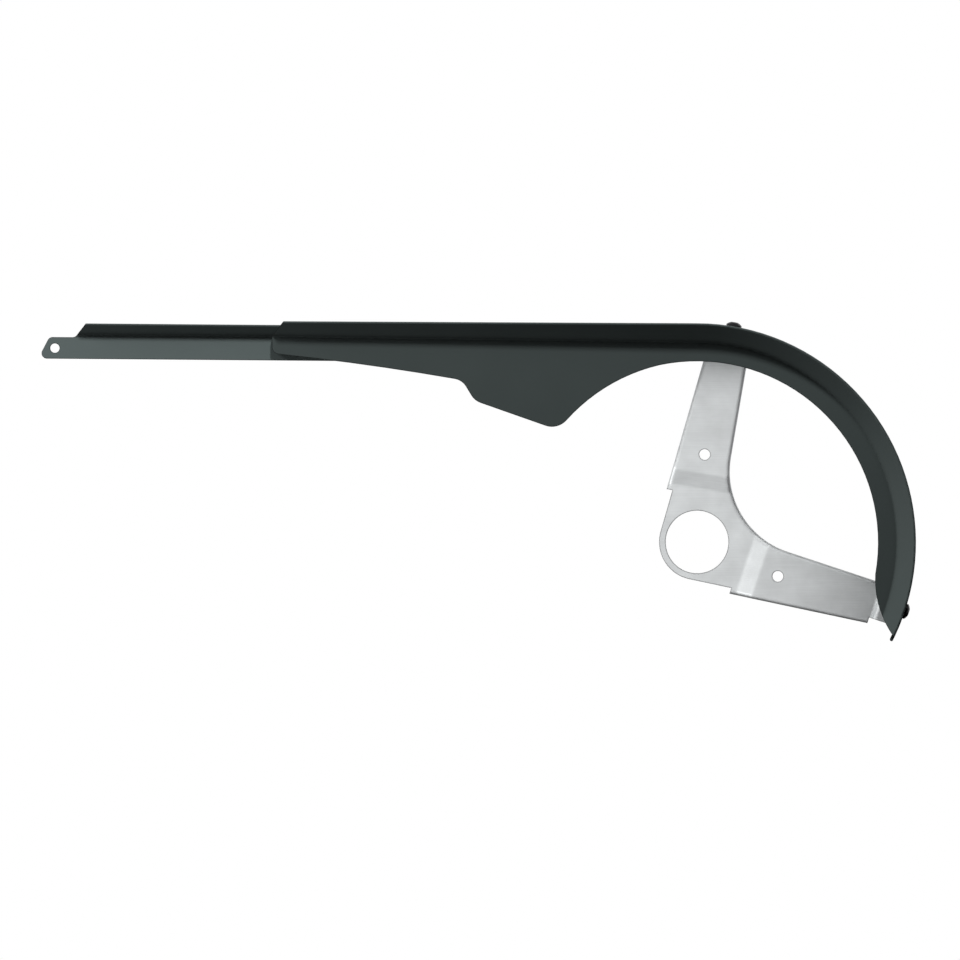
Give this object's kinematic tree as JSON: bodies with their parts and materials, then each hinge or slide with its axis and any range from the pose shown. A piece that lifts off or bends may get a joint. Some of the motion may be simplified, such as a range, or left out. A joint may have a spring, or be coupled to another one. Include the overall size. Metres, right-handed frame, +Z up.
{
  "type": "bicycle chain guard",
  "caption": "Bicycle chain guard: black moulded run and arc round the chainring, with a sliding rear extension and a pressed metal bracket for the bottom bracket.",
  "frame": {"origin": "centre of the bracket's bottom-bracket hole, at half the plate's thickness", "axes": "+X to the front of the bicycle, +Y inboard along the bottom-bracket axis, +Z up"},
  "size_m": [0.4874, 0.0412, 0.1782],
  "materials": {
    "black_plastic": "fine satin black moulded plastic",
    "bracket_metal": "satin pressed sheet metal",
    "screw_metal": "black coated steel",
    "nut_metal": "plain zinc-plated steel"
  },
  "bodies": {
    "guard": {"main_guard": "black_plastic", "bracket": "bracket_metal", "upper_screw": "screw_metal", "front_screw": "screw_metal", "upper_nut": "nut_metal", "front_nut": "nut_metal"},
    "extension": {"rear_extension": "black_plastic"}
  },
  "joints": [
    {"name": "extension_slide", "type": "slide", "parent": "guard", "child": "extension", "axis": [1, 0, -0.008], "range_m": [-0.03, 0.06]}
  ]
}
